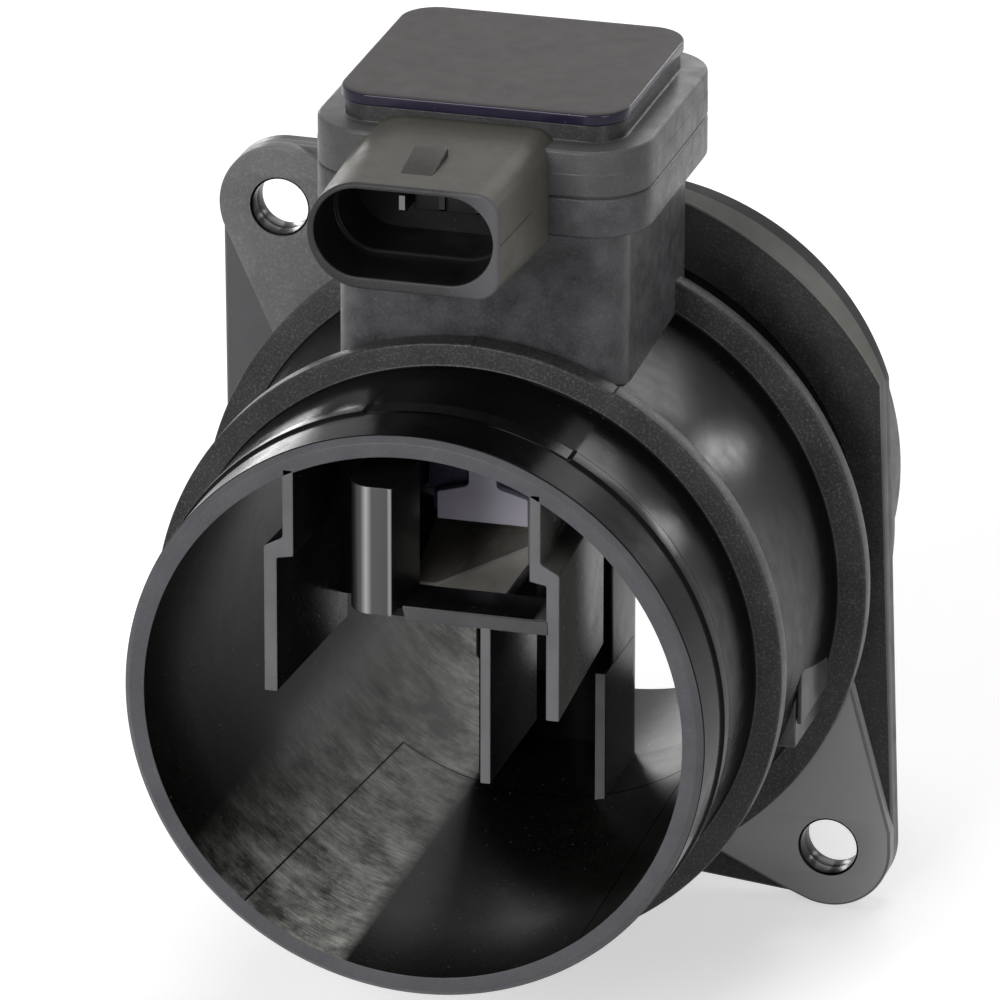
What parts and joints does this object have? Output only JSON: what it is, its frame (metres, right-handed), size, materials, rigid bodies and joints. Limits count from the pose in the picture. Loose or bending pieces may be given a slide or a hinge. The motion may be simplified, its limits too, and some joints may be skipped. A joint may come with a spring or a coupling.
{
  "type": "mass airflow sensor",
  "caption": "Mass airflow sensor: round air duct with a bolted flange, a bypass channel in the bore and a square sensor module with a plug socket on top.",
  "frame": {"origin": "on the bore axis, in the face of the flange that meets the air cleaner", "axes": "+Y along the bore axis towards the air cleaner, -Y towards the intake hose, +Z towards the sensor module, +X to the right seen from the hose end"},
  "size_m": [0.0966, 0.1085, 0.1281],
  "materials": {
    "tube_plastic": "satin black glass-filled moulding, dustier inside",
    "frame_plastic": "satin black glass-filled moulding",
    "lid_plastic": "fine matte top, glossy violet-black edge",
    "seal_rubber": "smooth",
    "adhesive": "cured, satin",
    "carrier_plastic": "dark violet, fine grain",
    "element_plastic": "violet grey, smooth satin",
    "silicon": "polished",
    "plate_metal": "rolled",
    "board_ceramic": "white fired ceramic",
    "chip_plastic": "moulded",
    "capacitor_ceramic": "fired",
    "resistor_ceramic": "glazed",
    "gel_silicone": "clear soft gel",
    "terminal_metal": "tinned",
    "strip_metal": "bright"
  },
  "bodies": {
    "root": {"flow_tube": "tube_plastic", "seal_ring": "seal_rubber", "seam_bead": "adhesive", "module_frame": "frame_plastic", "lid": "lid_plastic", "lid_bead": "adhesive", "element_carrier": "carrier_plastic", "sensing_element": "element_plastic", "sensor_die": "silicon", "carrier_plate": "plate_metal", "circuit_board": "board_ceramic", "signal_chip": "chip_plastic", "bridge_chip": "chip_plastic", "capacitors": "capacitor_ceramic", "trim_resistors": "resistor_ceramic", "gel": "gel_silicone", "terminal_1": "terminal_metal", "terminal_2": "terminal_metal", "terminal_3": "terminal_metal", "bond_strip_1": "strip_metal", "bond_strip_2": "strip_metal", "bond_strip_3": "strip_metal"}
  },
  "joints": []
}
